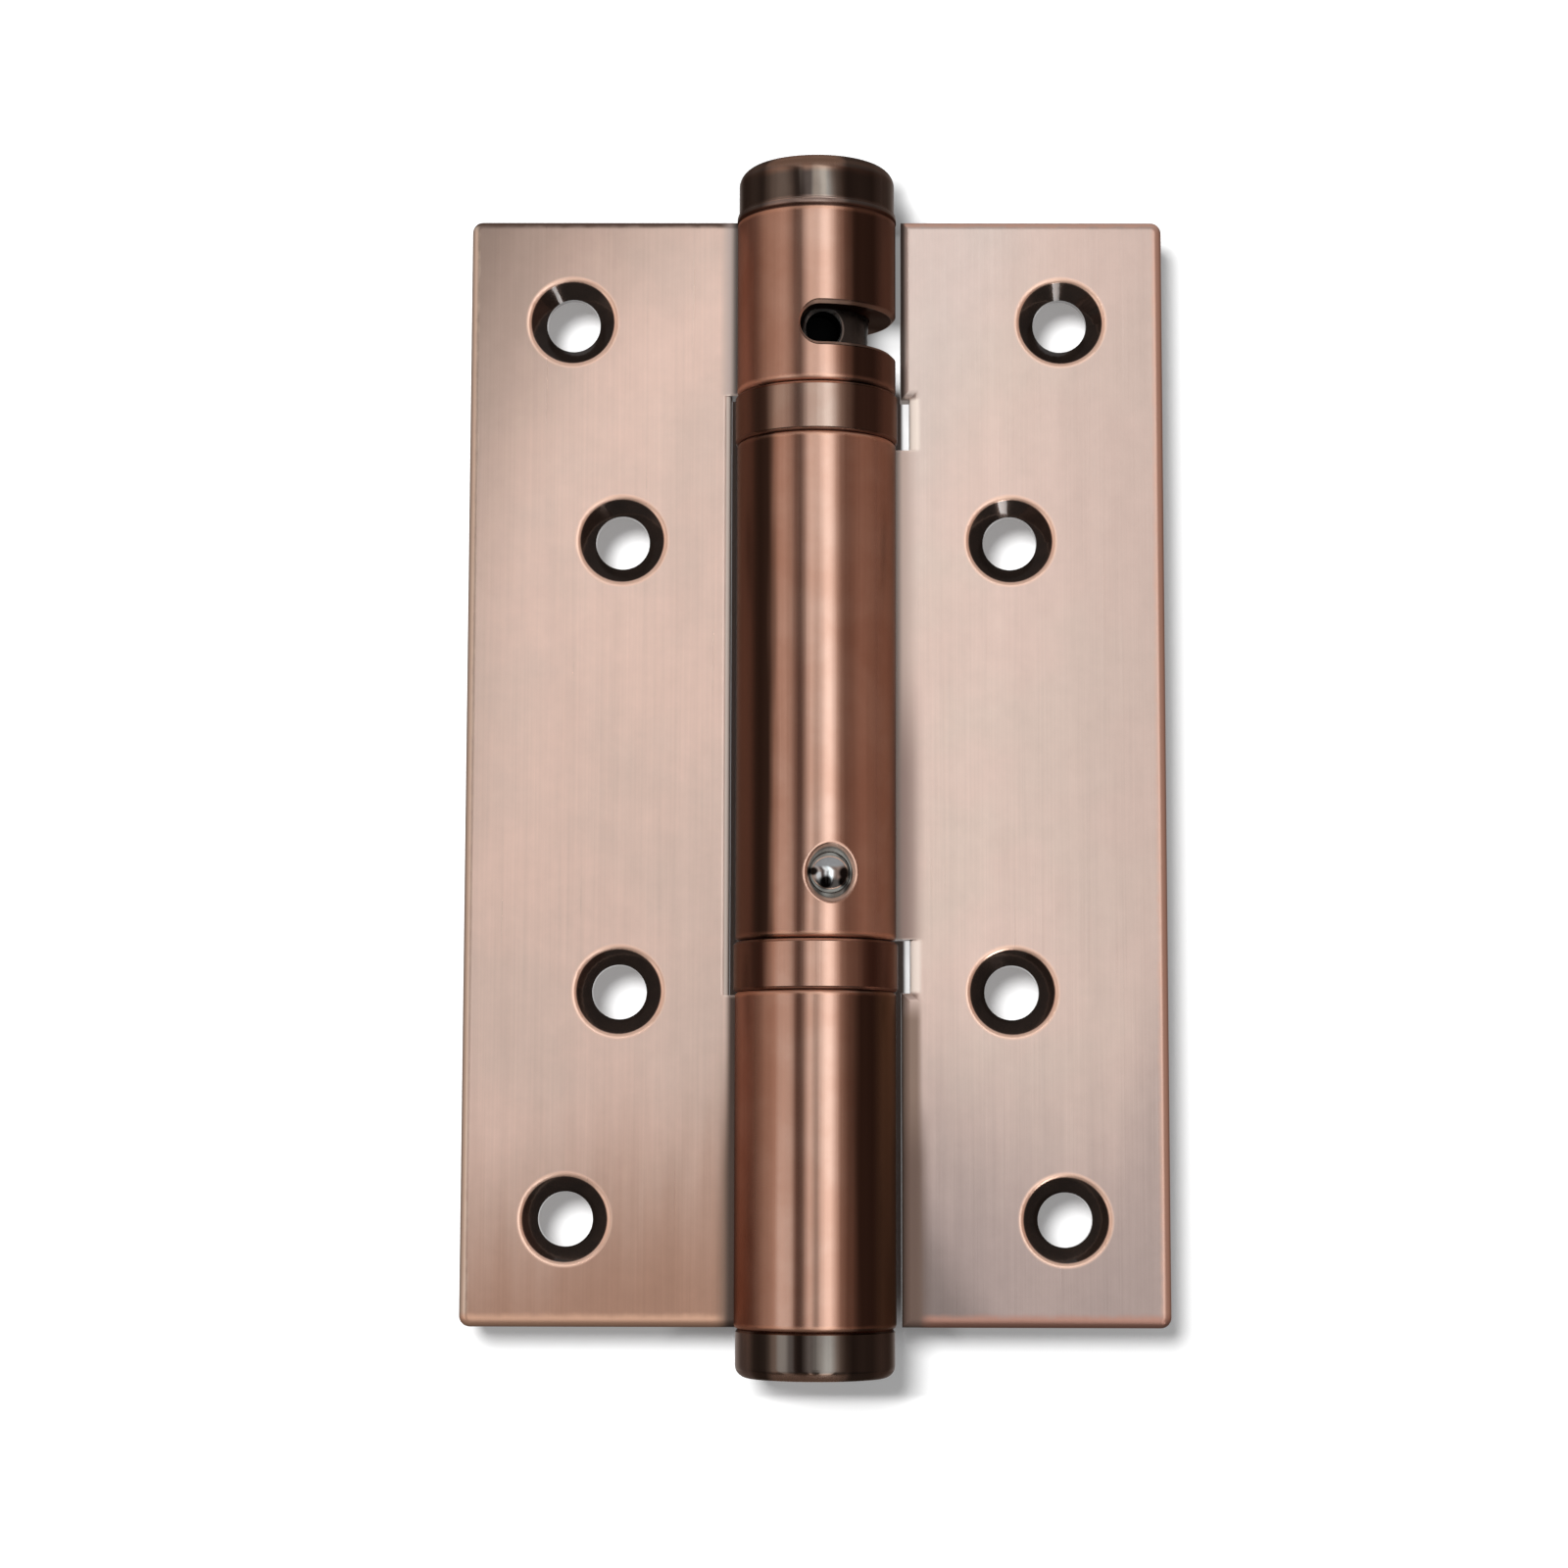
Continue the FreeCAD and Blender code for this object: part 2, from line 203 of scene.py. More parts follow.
# distance from the nearest screw hole's axis, for a zigzag of an outer and an inner pair
def makeScrewGroup():
    group, takes, gives = newGroup("screwRings", {
        "Across": ("Float", 0.0), "Height": ("Float", 0.0), "Outer Reach": ("Float", 28.2),
        "Outer Rise": ("Float", 51.5), "Inner Reach": ("Float", 22.3), "Inner Rise": ("Float", 25.9)},
        {"Distance": "Float"})
    across = calc(group, "ABSOLUTE", takes["Across"])
    height = calc(group, "ABSOLUTE", takes["Height"])
    found = []
    for pair in ("Outer", "Inner"):
        sideways = minus(group, across, takes[pair + " Reach"])
        upwards = minus(group, height, takes[pair + " Rise"])
        found.append(farOff(group, sideways, upwards))
    wire(group, gives["Distance"], calc(group, "MINIMUM", *found))
    return group


placeGroup = makePlaceGroup()
brushGroup = makeBrushGroup()
patinaGroup = makePatinaGroup()
edgeWearAndReflectionGroup = makeEdgeWearAndReflectionGroup()
screwGroup = makeScrewGroup()
print("effects: place, brush lines, patina, worn edge, screw rings")


def blankMaterial(name):
    material = bpy.data.materials.new(name)
    material.use_nodes = True
    material.node_tree.nodes.clear()
    return material, material.node_tree


# a material with its shader, its object coordinates and the place on it
def newFinish(name):
    material, tree = blankMaterial(name)
    shader = put(tree, "ShaderNodeBsdfPrincipled")
    put(tree, "ShaderNodeOutputMaterial", {"Surface": shader.outputs[0]})
    here = put(tree, "ShaderNodeTexCoord").outputs["Object"]
    return material, tree, shader.inputs, here, useGroup(tree, placeGroup, Vector=here)


def bumpy(tree, inputs, height, strength, depth):
    bump = put(tree, "ShaderNodeBump", {"Strength": strength, "Distance": depth, "Height": height})
    wire(tree, inputs["Normal"], bump.outputs["Normal"])


# the usual least and most of a noise, where it changes a colour, a line's polish or a mottle's polish
colourNoise = (0.2, 0.8)
lineNoise = (0.25, 0.75)
mottleNoise = (0.3, 0.7)


# multiplies a colour by 1 plus a share of how far a noise lies from its middle
def vary(tree, base, noise, share):
    gain = span(tree, noise, *colourNoise, 1.0 - share, 1.0 + share)
    grey = put(tree, "ShaderNodeCombineColor", {0: gain, 1: gain, 2: gain}).outputs[0]
    return tinge(tree, 1.0, base, grey, "MULTIPLY")


# moves a limit to and fro by a noise
def wandering(tree, noise, reach=3.0):
    return span(tree, noise, *colourNoise, -reach, reach)


# how far a place lies to the side of an axis that points out of the barrel at an angle from the front
def besideAxis(tree, place, degrees):
    turn = math.radians(degrees)
    return plus(tree, times(tree, place["Across"], math.cos(turn)), times(tree, place["Depth"], math.sin(turn)))


# leaves: satin copper plate, brushed along the barrel, with a painted shade that darkens it towards its lower end

leafPlate = {
    "reach": 40.0,
    "rise": 63.5,
    "backLimit": 3.97,
    "clouds": {"Size": 55.0, "Low": 0.38, "High": 0.64},
    "slopeFrom": 25.0,
    "lineShare": 0.055,
    "bandShare": 0.045,
    "mottleShare": 0.04,
    "ragged": 0.5,
    "metal": 0.8,
    "rough": (0.27, 0.36),
    "specular": (0.34, 0.30, 0.28),
    "lines": 0.22,
    "lineDepth": 0.04 * mm,
}

# an edge is a tint and how wide it is, worn copper on some edges and a painted reflection of the rounded edge
# on others; a painted shade is a tint, its share, the weights of reach and height, and the sums where it starts
# and is full; a hem paints shade beside the barrel, and light where its tint is pale: the heights between which
# it comes up at its lower end and goes at its upper end, the reaches where it starts and is full, a tint, and how
# far it loses its metal gloss, or regains it where that is below 0
frameLeaf = {
    "node": "frame_leaf",
    "pale": (0.695, 0.492, 0.412),
    "tan": (0.64, 0.469, 0.395),
    "deep": (0.415, 0.235, 0.166),
    "lowStart": -33.0,
    "lowEnd": -64.0,
    "lowSlope": -0.25,
    "paintedShades": (
        ((0.22, 0.145, 0.11), 0.68, 0.9, 0.7, 47.0, 80.0),
        ((0.10, 0.065, 0.05), 0.50, 1.6, 0.5, 84.0, 94.0),
        ((0.30, 0.22, 0.18), 0.50, 1.0, 0.12, 33.0, 46.0),
    ),
    "topEdge": ((0.16, 0.10, 0.075), 0.9),
    "bottomEdge": ((0.72, 0.42, 0.29), 1.8),
    "outerEdge": ((0.72, 0.55, 0.44), 1.1),
    "paintedHems": (
        (42.6, 43.2, 65.7, 66.3, 11.3, 9.9, (0.46, 0.36, 0.32), 0.0),
        (-26.7, -26.1, 42.6, 43.2, 10.55, 10.25, (0.62, 0.52, 0.46), 0.85),
        (-85.0, -65.0, -48.0, -28.0, 11.6, 9.7, (0.19, 0.125, 0.095), 0.2),
        (-26.7, -26.1, 42.6, 43.2, 10.1, 9.70, (0.040, 0.024, 0.019), 0.0),
        (42.6, 43.2, 65.7, 66.3, 10.1, 9.2, (0.10, 0.08, 0.07), 0.0),
        (-66.3, -65.7, -26.7, -26.1, 10.35, 9.5, (0.085, 0.058, 0.047), 0.0),
    ),
}

doorLeaf = {
    "node": "door_leaf",
    "pale": (0.73, 0.533, 0.456),
    "tan": (0.69, 0.53, 0.45),
    "deep": (0.43, 0.325, 0.295),
    "lowStart": -24.0,
    "lowEnd": -60.0,
    "lowSlope": -0.35,
    "paintedShades": (
        ((0.52, 0.375, 0.32), 0.8, 1.0, 0.06, 12.0, 46.0),
        ((0.20, 0.155, 0.14), 0.75, -1.0, -0.6, 15.0, 23.0),
        ((0.34, 0.26, 0.24), 0.42, 2.0, -0.55, 84.0, 100.0),
        ((0.60, 0.50, 0.46), 0.45, -1.0, 0.35, -8.0, 5.0),
    ),
    "topEdge": ((0.80, 0.47, 0.36), 0.9),
    "bottomEdge": ((0.48, 0.25, 0.19), 1.8),
    "outerEdge": ((0.64, 0.385, 0.295), 1.5),
    "paintedHems": (
        (42.2, 42.8, 65.7, 66.3, 10.4, 10.0, (0.24, 0.18, 0.155), 0.0),
        (42.2, 42.8, 65.7, 66.3, 9.95, 9.70, (0.11, 0.085, 0.075), 0.0),
        (36.1, 36.7, 42.2, 42.8, 12.2, 11.6, (0.69, 0.585, 0.515), 0.9),
        (-20.3, -19.7, 36.1, 36.7, 12.0, 10.0, (0.51, 0.375, 0.32), 0.0),
        (-20.3, -19.7, -2.0, 14.0, 12.9, 9.9, (0.30, 0.205, 0.175), 0.0),
        (-20.3, -19.7, 36.1, 36.7, 10.05, 9.15, (0.235, 0.18, 0.155), 0.0),
        (-26.3, -25.7, -20.3, -19.7, 12.2, 11.6, (0.70, 0.59, 0.52), 0.9),
        (-70.0, -68.0, -29.3, -25.7, 12.3, 11.4, (0.235, 0.16, 0.125), 0.5),
        (-70.0, -68.0, -46.0, -36.0, 13.4, 11.2, (0.13, 0.085, 0.068), 0.5),
        (-70.0, -68.0, -20.3, -19.7, 9.95, 9.70, (0.028, 0.018, 0.015), -0.8),
    ),
}

# the radii between which the bright rim comes up, and between which it turns into the blackened countersink
screwFinish = {
    "rimSpan": (5.52, 5.10),
    "sunkSpan": (4.90, 4.70),
    "rim": (0.92, 0.60, 0.46),
    "black": (0.022, 0.018, 0.016),
    "brown": (0.07, 0.045, 0.035),
    "polish": 0.1,
    "coat": (0.1, 1.0),
    "coatRough": 0.07,
}


def makeLeafFinish(values):
    material, tree, inputs, here, place = newFinish("copper_" + values["node"])
    across = calc(tree, "ABSOLUTE", place["Across"])
    height = place["Height"]
    brush = useGroup(tree, brushGroup, Vector=here)
    patina = useGroup(tree, patinaGroup, Vector=here, **leafPlate["clouds"])
    base = tinge(tree, patina["Clouds"], values["pale"], values["tan"])
    # painted shade: darker, deeper copper towards the lower end, along a wandering and slanting limit
    slope = times(tree, minus(tree, leafPlate["slopeFrom"], across), values["lowSlope"])
    limit = plus(tree, plus(tree, height, wandering(tree, brush["Bands"])), slope)
    base = tinge(tree, ease(tree, limit, values["lowStart"], values["lowEnd"]), base, values["deep"])
    # painted shade: dimmer towards a side or a corner, on all but the back
    ahead = calc(tree, "LESS_THAN", place["Depth"], leafPlate["backLimit"])
    for tint, share, sideWeight, heightWeight, start, full in values["paintedShades"]:
        slant = plus(tree, times(tree, across, sideWeight), times(tree, height, heightWeight))
        base = tinge(tree, times(tree, ease(tree, slant, start, full), share, ahead), base, tint)
    base = vary(tree, base, brush["Lines"], leafPlate["lineShare"])
    base = vary(tree, base, brush["Bands"], leafPlate["bandShare"])
    base = vary(tree, base, patina["Mottle"], leafPlate["mottleShare"])
    # edges, worn copper in part and a painted reflection of the rounded edge in part, and hem strips of painted
    # shade and light beside the barrel
    edges = (
        (values["outerEdge"], minus(tree, leafPlate["reach"], across)),
        (values["topEdge"], minus(tree, leafPlate["rise"], height)),
        (values["bottomEdge"], plus(tree, leafPlate["rise"], height)),
    )
    for (tint, width), distance in edges:
        edgeBand = useGroup(tree, edgeWearAndReflectionGroup, Vector=here, Distance=distance, Width=width, Ragged=leafPlate["ragged"])
        base = tinge(tree, edgeBand["Band"], base, tint)
    metal = leafPlate["metal"]
    for bottom, low, high, top, start, full, tint, dulled in values["paintedHems"]:
        along = times(tree, ease(tree, height, bottom, low), ease(tree, height, top, high))
        hem = times(tree, ease(tree, across, start, full), along, ahead)
        base = tinge(tree, hem, base, tint)
        metal = times(tree, metal, minus(tree, 1.0, times(tree, hem, dulled)))
    # blackened countersinks inside a bright rim
    ring = useGroup(tree, screwGroup, Across=place["Across"], Height=height)["Distance"]
    rim = times(tree, ease(tree, ring, *screwFinish["rimSpan"]), ahead)
    base = tinge(tree, rim, base, screwFinish["rim"])
    sunk = times(tree, ease(tree, ring, *screwFinish["sunkSpan"]), ahead)
    black = tinge(tree, patina["Mottle"], screwFinish["black"], screwFinish["brown"])
    rough = span(tree, brush["Lines"], *lineNoise, *leafPlate["rough"])
    plug(tree, inputs, {
        "Base Color": tinge(tree, sunk, base, black),
        "Metallic": metal,
        "Roughness": minus(tree, rough, times(tree, sunk, screwFinish["polish"])),
        "Coat Weight": span(tree, sunk, 0.0, 1.0, *screwFinish["coat"]),
        "Coat Roughness": screwFinish["coatRough"],
        "Specular Tint": colour(leafPlate["specular"]),
    })
    bumpy(tree, inputs, brush["Lines"], leafPlate["lines"], leafPlate["lineDepth"])
    return material


# barrel: polished copper tubes, with a painted reflection that darkens a side that turns free of its leaf

# what all its pieces share unless they say otherwise, in millimetres and degrees from the front
barrelDefaults = {
    "radius": 9.1,
    "copper": (0.56, 0.315, 0.23),
    "rose": (0.62, 0.38, 0.29),
    "brush": {"Fine": 2600.0, "Broad": 500.0, "Along": 22.0},
    "clouds": {"Size": 130.0, "Low": 0.35, "High": 0.68},
    "lineShare": 0.06,
    "bandShare": 0.08,
    "dark": (0.058, 0.032, 0.023),
    "farDark": (0.19, 0.105, 0.078),
    "farTurn": (43.0, 57.0),
    "darkHold": 0.85,
    "darkSkin": (2.8, 1.4),
    "behind": (175.0, 130.0),
    "joinSide": (-38.0, -54.0),
    "joinTint": (0.70, 0.61, 0.60),
    "streaks": (),
    "lowWorn": 0.8,
    "highWorn": 0.8,
    "lowTint": (0.82, 0.44, 0.30),
    "highTint": (0.82, 0.44, 0.30),
    "wornShare": 0.8,
    "ragged": 0.3,
    "lowGroove": 0.13,
    "highGroove": 0.13,
    "grooveFull": 0.4,
    "grooveTint": (0.26, 0.128, 0.092),
    "endMargin": 0.8,
    "rim": (0.80, 0.52, 0.40),
    "rimDepth": (0.05, 0.16),
    "rimReach": 0.7,
    "rimFull": 0.6,
    # painted shade inside the walls of the tubes
    "insideShade": (0.045, 0.020, 0.014),
    "insideShadeDepth": (0.42, 0.62),
    "slot": None,
    "dish": None,
    "rough": (0.135, 0.205),
    "dullRough": 0.22,
    "sideRough": 0.26,
    "sideStart": (40.0, 58.0),
    "sideEnd": (130.0, 110.0),
    "coat": 0.06,
    "coatRough": 0.15,
    "drawnOut": 0.7,
    "drawnTurn": 0.25,
    "specular": (0.54, 0.48, 0.45),
    "lines": 0.10,
    "lineDepth": 0.03 * mm,
}

bronze = {
    "copper": (0.175, 0.145, 0.125),
    "rose": (0.215, 0.18, 0.155),
    "dark": (0.045, 0.036, 0.031),
    "farDark": (0.13, 0.105, 0.09),
    "rim": (0.36, 0.20, 0.135),
    "rimReach": 2.0,
    "radius": 8.95,
    "rough": (0.02, 0.09),
    "lines": 0.04,
}


# low and high are the heights of the ends; left and right are the angles where the painted dark reflection on a
# side starts and where it is full, None where a leaf is joined
def barrelPiece(node, low, high, left, right, **more):
    return {**barrelDefaults, "node": node, "low": low, "high": high, "left": left, "right": right, **more}


# where the anchor pin comes out of the middle tube, and the steel-grey dish round it
pinPlace = {"angle": 10.8, "height": -13.1}
pinDish = {"reach": 4.3, "depth": (0.25, 0.5), "grey": (0.22, 0.20, 0.18)}

# the bright edge round the slot, whose round ends are centred at the two angles
slotHeight = 49.1
slotEdge = {"angles": (15.85, 151.15), "span": (2.65, 2.38), "tint": (0.86, 0.60, 0.48)}

# painted reflections: darker and paler stripes up the caps: the middle angle, the angles beside it where a stripe
# starts and is full, and the tint that multiplies the colour
capReflectionStreaks = {
    "top": ((-7.6, 5.4, 2.2, (0.42, 0.38, 0.38)), (2.0, 6.5, 3.0, (1.35, 1.28, 1.22))),
    "bottom": ((-10.5, 12.0, 7.5, (0.43, 0.40, 0.40)), (-70.0, 22.0, 13.0, (2.9, 3.0, 3.2))),
}

barrelPieces = (
    barrelPiece("top_tube", 42.5, 62.7, None, (15.0, 30.0), slot=slotEdge, lowGroove=0.0, highGroove=0.33,
                lowTint=(0.95, 0.55, 0.40), grooveTint=(0.10, 0.05, 0.036)),
    barrelPiece("middle_tube", -20.25, 36.75, (-26.0, -37.0), (45.0, 95.0), dish=pinDish, lowGroove=0.0),
    barrelPiece("bottom_tube", -63.5, -26.0, None, (17.0, 34.0), farDark=(0.18, 0.110, 0.070)),
    barrelPiece("lower_bearing_case", -26.0, -20.45, (-29.0, -40.0), (18.0, 40.0), radius=9.3,
                dark=(0.09, 0.042, 0.030), lowWorn=0.3, highWorn=0.3, highGroove=0.0),
    barrelPiece("upper_bearing_case", 36.75, 42.3, (-28.0, -39.0), (15.0, 30.0), radius=9.3,
                copper=(0.46, 0.30, 0.235), rose=(0.50, 0.36, 0.29), dark=(0.075, 0.042, 0.031),
                lowWorn=0.3, highWorn=0.3, highGroove=0.0),
    barrelPiece("top_cap", 62.7, 68.9, (-30.0, -42.0), (12.0, 26.0), streaks=capReflectionStreaks["top"],
                lowGroove=0.33, highGroove=0.0, grooveTint=(0.10, 0.05, 0.036), lowWorn=1.25,
                lowTint=(0.56, 0.38, 0.31), highWorn=2.6, highTint=(0.50, 0.27, 0.18), **bronze),
    barrelPiece("bottom_cap", -68.9, -63.5, (-31.0, -40.0), (15.5, 26.5), streaks=capReflectionStreaks["bottom"],
                lowGroove=0.0, lowWorn=1.2, lowTint=(0.85, 0.52, 0.38), highWorn=0.4,
                highTint=(0.20, 0.13, 0.10), **bronze),
)


def makeBarrelFinish(values):
    material, tree, inputs, here, place = newFinish("copper_" + values["node"])
    brush = useGroup(tree, brushGroup, Vector=here, **values["brush"])
    patina = useGroup(tree, patinaGroup, Vector=here, **values["clouds"])
    base = tinge(tree, patina["Clouds"], values["copper"], values["rose"])
    # painted reflection: the dark sides start along a wandering line and end behind the barrel
    angle = plus(tree, place["Angle"], wandering(tree, brush["Bands"]))
    aside = calc(tree, "ABSOLUTE", place["Angle"])
    behind = ease(tree, aside, *values["behind"])
    depth = minus(tree, values["radius"], place["Radius"])
    wall = times(tree, behind, ease(tree, depth, *values["darkSkin"]))
    shade = 0.0
    for side in ("left", "right"):
        if values[side]:
            shade = calc(tree, "MAXIMUM", shade, times(tree, ease(tree, angle, *values[side]), wall))
    # painted shade: deeper and darker in colour beside the frame leaf, where that is joined
    if not values["left"]:
        joined = times(tree, ease(tree, place["Angle"], *values["joinSide"]), behind)
        base = tinge(tree, joined, base, values["joinTint"], "MULTIPLY")
    dark = tinge(tree, ease(tree, aside, *values["farTurn"]), values["dark"], values["farDark"])
    base = tinge(tree, shade, base, dark)
    # painted reflection: darker and paler stripes up the caps
    for middle, start, full, tint in values["streaks"]:
        off = calc(tree, "ABSOLUTE", minus(tree, place["Angle"], middle))
        base = tinge(tree, times(tree, ease(tree, off, start, full), wall), base, tint, "MULTIPLY")
    # worn lines, the slot's bright edge and the pale rims are held back where the painted dark reflection lies
    unshaded = minus(tree, 1.0, times(tree, shade, values["darkHold"]))
    base = vary(tree, base, brush["Lines"], values["lineShare"])
    base = vary(tree, base, brush["Bands"], values["bandShare"])
    # a worn line near each end, a bright edge round the slot, and pale rims where the surface turns into a hole
    toLow = minus(tree, place["Height"], values["low"])
    toHigh = minus(tree, values["high"], place["Height"])
    edgeBand = 0.0
    for end, distance in (("low", toLow), ("high", toHigh)):
        worn = useGroup(tree, edgeWearAndReflectionGroup, Vector=here, Distance=distance, Width=values[end + "Worn"],
                        Ragged=values["ragged"])["Band"]
        worn = times(tree, worn, unshaded, values["wornShare"])
        base = tinge(tree, worn, base, values[end + "Tint"])
        edgeBand = calc(tree, "MAXIMUM", edgeBand, worn)
    slot = values["slot"]
    if slot:
        first, last = slot["angles"]
        past = calc(tree, "MAXIMUM", minus(tree, first, place["Angle"]), minus(tree, place["Angle"], last))
        beyond = times(tree, calc(tree, "MAXIMUM", past, 0.0), math.radians(values["radius"]))
        away = farOff(tree, beyond, minus(tree, place["Height"], slotHeight))
        base = tinge(tree, times(tree, ease(tree, away, *slot["span"]), unshaded), base, slot["tint"])
    inward = calc(tree, "GREATER_THAN", calc(tree, "MINIMUM", toLow, toHigh), values["endMargin"])
    turned = times(tree, ease(tree, depth, *values["rimDepth"]),
                   ease(tree, depth, values["rimReach"], values["rimReach"] * values["rimFull"]))
    base = tinge(tree, times(tree, turned, inward, unshaded), base, values["rim"])
    # brown grooves between the pieces, and painted shade inside the walls
    groove = 0.0
    for width, distance in ((values["lowGroove"], toLow), (values["highGroove"], toHigh)):
        if width:
            groove = calc(tree, "MAXIMUM", groove, ease(tree, distance, width, width * values["grooveFull"]))
    base = tinge(tree, groove, base, values["grooveTint"])
    insideShade = times(tree, ease(tree, depth, *values["insideShadeDepth"]), inward)
    dish = values["dish"]
    if dish:
        upwards = minus(tree, place["Height"], pinPlace["height"])
        away = farOff(tree, besideAxis(tree, place, pinPlace["angle"]), upwards)
        inDish = times(tree, calc(tree, "LESS_THAN", away, dish["reach"]), ease(tree, depth, *dish["depth"]))
        base = tinge(tree, inDish, base, dish["grey"])
        insideShade = times(tree, insideShade, minus(tree, 1.0, inDish))
    base = tinge(tree, insideShade, base, values["insideShade"])
    dirt = calc(tree, "MAXIMUM", insideShade, groove)
    dull = calc(tree, "MAXIMUM", calc(tree, "MAXIMUM", dirt, turned), edgeBand)
    rough = span(tree, brush["Lines"], *lineNoise, *values["rough"])
    rough = plus(tree, rough, times(tree, dull, values["dullRough"]))
    # the polish is poorer on the two sides that face the leaves
    sides = times(tree, ease(tree, aside, *values["sideStart"]), ease(tree, aside, *values["sideEnd"]))
    # turned on a lathe: gloss is drawn out along the barrel, and dies away at a grazing angle
    plug(tree, inputs, {
        "Base Color": base,
        "Metallic": 1.0,
        "Roughness": plus(tree, rough, times(tree, sides, values["sideRough"])),
        "Coat Weight": span(tree, dirt, 0.0, 1.0, values["coat"], 0.0),
        "Coat Roughness": values["coatRough"],
        "Anisotropic": values["drawnOut"],
        "Anisotropic Rotation": values["drawnTurn"],
        "Specular Tint": colour(values["specular"]),
    })
    bumpy(tree, inputs, brush["Lines"], values["lines"], values["lineDepth"])
    return material


# steels and nylon

brightSteel = {"light": (0.78, 0.78, 0.77), "dark": (0.60, 0.60, 0.60), "size": 260.0}

steelKinds = {
    "oiled_steel": {
        "light": (0.060, 0.058, 0.056),
        "dark": (0.022, 0.021, 0.020),
        "rough": (0.26, 0.40),
        "size": 220.0,
    },
    "adjuster_steel": {
        "light": (0.070, 0.068, 0.065),
        "dark": (0.030, 0.029, 0.028),
        "rough": (0.26, 0.40),
        "size": 220.0,
        # a painted highlight on the hole rims, and painted shade inside the holes
        "rim": (0.34, 0.34, 0.33),
        "rimRadii": (5.97, 5.91),
        "ringRadii": (2.5, 2.35),
        "sunk": (0.006, 0.006, 0.006),
        "sunkRadii": (5.45, 5.30),
        "sunkRough": 0.7,
        "holeAngle": 8.0,
        "holeHalfStep": 45.0,
    },
    "bright_steel": {**brightSteel, "rough": (0.08, 0.14)},
    "pin_steel": {
        **brightSteel,
        "rough": (0.07, 0.11),
        # painted reflections of dark things round the ball
        "reflectionSpots": ((-0.62, -1.15, 1.0), (1.5, -0.1, 0.95), (1.35, -1.0, 0.75), (-1.95, 0.1, 0.6)),
        "spot": (0.018, 0.016, 0.015),
        "spotFull": 0.5,
    },
    "race_steel": {
        "light": (0.70, 0.70, 0.69),
        "dark": (0.50, 0.50, 0.50),
        "rough": (0.08, 0.16),
        "size": 260.0,
        # painted shade on the wall seen through the gap between the pieces
        "wall": (0.050, 0.022, 0.016),
        "wallRadii": (8.25, 8.45),
        "wallRough": 0.6,
    },
    "spring_steel": {
        "light": (0.24, 0.24, 0.25),
        "dark": (0.10, 0.095, 0.10),
        "rough": (0.30, 0.45),
        "size": 180.0,
    },
}


def makeSteelFinish(name, values):
    material, tree, inputs, here, place = newFinish(name)
    patina = useGroup(tree, patinaGroup, Vector=here, Size=values["size"], Low=0.35, High=0.65)
    base = tinge(tree, patina["Clouds"], values["light"], values["dark"])
    base = vary(tree, base, patina["Mottle"], share=0.08)
    rough = span(tree, patina["Mottle"], *mottleNoise, *values["rough"])
    # painted highlight on the rims round the bar holes, and painted shade that makes them black inside
    if "rim" in values:
        radius, step = place["Radius"], values["holeHalfStep"]
        turn = calc(tree, "WRAP", minus(tree, place["Angle"], values["holeAngle"]), step, -step)
        sideways = times(tree, calc(tree, "RADIANS", turn), radius)
        away = farOff(tree, sideways, minus(tree, place["Height"], slotHeight))
        rim = calc(tree, "MAXIMUM", ease(tree, away, *values["ringRadii"]), ease(tree, radius, *values["rimRadii"]))
        base = tinge(tree, rim, base, values["rim"])
        sunk = ease(tree, radius, *values["sunkRadii"])
        base = tinge(tree, sunk, base, values["sunk"])
        rough = calc(tree, "MAXIMUM", rough, times(tree, sunk, values["sunkRough"]))
    # painted reflections: black dots on the pin's ball, by their place to the side and upwards and their radius
    for right, up, radius in values.get("reflectionSpots", ()):
        sideways = minus(tree, besideAxis(tree, place, pinPlace["angle"]), right)
        away = farOff(tree, sideways, minus(tree, place["Height"], pinPlace["height"] + up))
        base = tinge(tree, ease(tree, away, radius, radius * values["spotFull"]), base, values["spot"])
    # painted shade: the race's outer wall, seen through the gap between the pieces, is darkened
    if "wall" in values:
        shadedWall = ease(tree, place["Radius"], *values["wallRadii"])
        base = tinge(tree, shadedWall, base, values["wall"])
        rough = calc(tree, "MAXIMUM", rough, times(tree, shadedWall, values["wallRough"]))
    plug(tree, inputs, {"Base Color": base, "Metallic": 1.0, "Roughness": rough})
    bumpy(tree, inputs, patina["Mottle"], strength=0.05, depth=0.03 * mm)
    return material


nylonCage = {"light": (0.80, 0.79, 0.73), "dark": (0.66, 0.64, 0.56), "rough": (0.42, 0.56)}


def makeNylonFinish(values):
    material, tree, inputs, here, _ = newFinish("cage_nylon")
    patina = useGroup(tree, patinaGroup, Vector=here, Size=300.0, Low=0.35, High=0.7)
    plug(tree, inputs, {
        "Base Color": tinge(tree, patina["Clouds"], values["light"], values["dark"]),
        "Roughness": span(tree, patina["Mottle"], *mottleNoise, *values["rough"]),
    })
    bumpy(tree, inputs, patina["Mottle"], strength=0.08, depth=0.03 * mm)
    return material


def dress(node, material):
    slots = nodes[node].material_slots
    if not slots:
        nodes[node].data.materials.append(material)
    for slot in slots:
        slot.material = material


